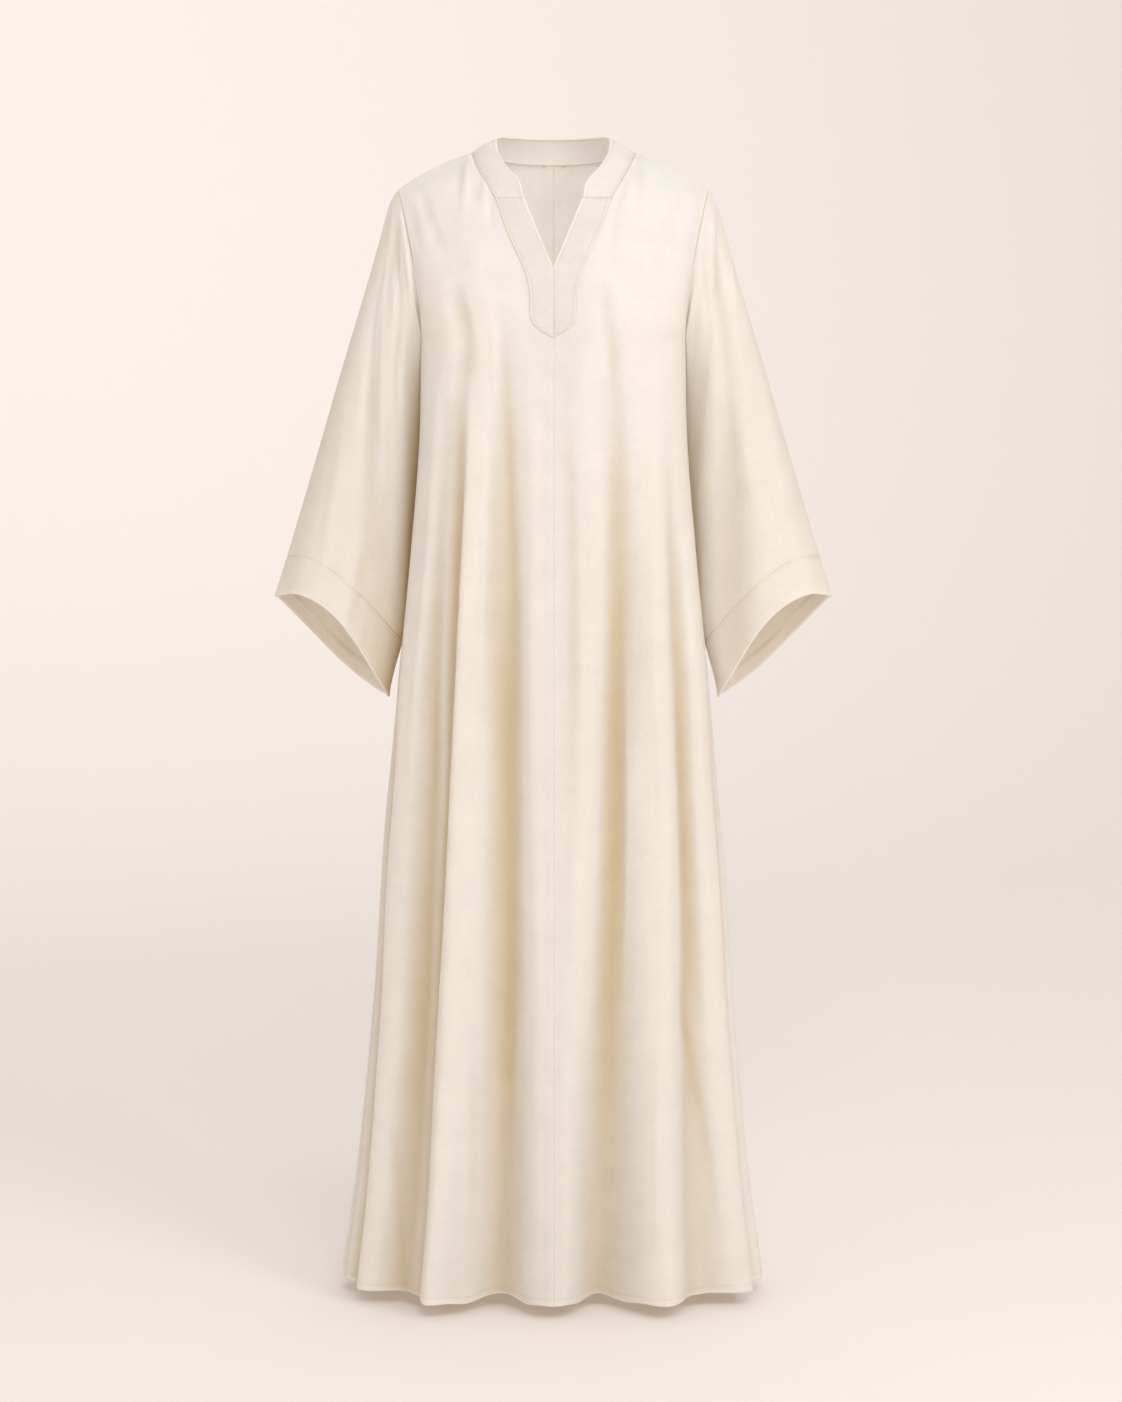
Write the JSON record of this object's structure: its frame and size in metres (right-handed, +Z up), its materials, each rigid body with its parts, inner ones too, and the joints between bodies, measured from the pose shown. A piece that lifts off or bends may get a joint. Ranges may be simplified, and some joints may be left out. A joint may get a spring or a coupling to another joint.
{
  "type": "maxi kaftan",
  "caption": "Ankle-length cream kaftan with a narrow stand collar, V neck with an applied band, wide bell sleeves and cuff bands, hollow as worn.",
  "frame": {"origin": "on the centre line at the base of the neck, level with the neck ends of the shoulder seams, where the wearer's shoulders hold the garment", "axes": "+Z up, the front faces -Y, +X to the right as seen from the front"},
  "size_m": [0.711, 0.3161, 1.4603],
  "materials": {
    "cream_crepe": "matt woven crepe, cream, with a faint sheen"
  },
  "bodies": {
    "root": {"front_left": "cream_crepe", "front_right": "cream_crepe", "back_left": "cream_crepe", "back_right": "cream_crepe", "band_left": "cream_crepe", "band_right": "cream_crepe", "collar": "cream_crepe", "sleeve_left": "cream_crepe", "sleeve_right": "cream_crepe", "cuff_left": "cream_crepe", "cuff_right": "cream_crepe"}
  },
  "joints": []
}
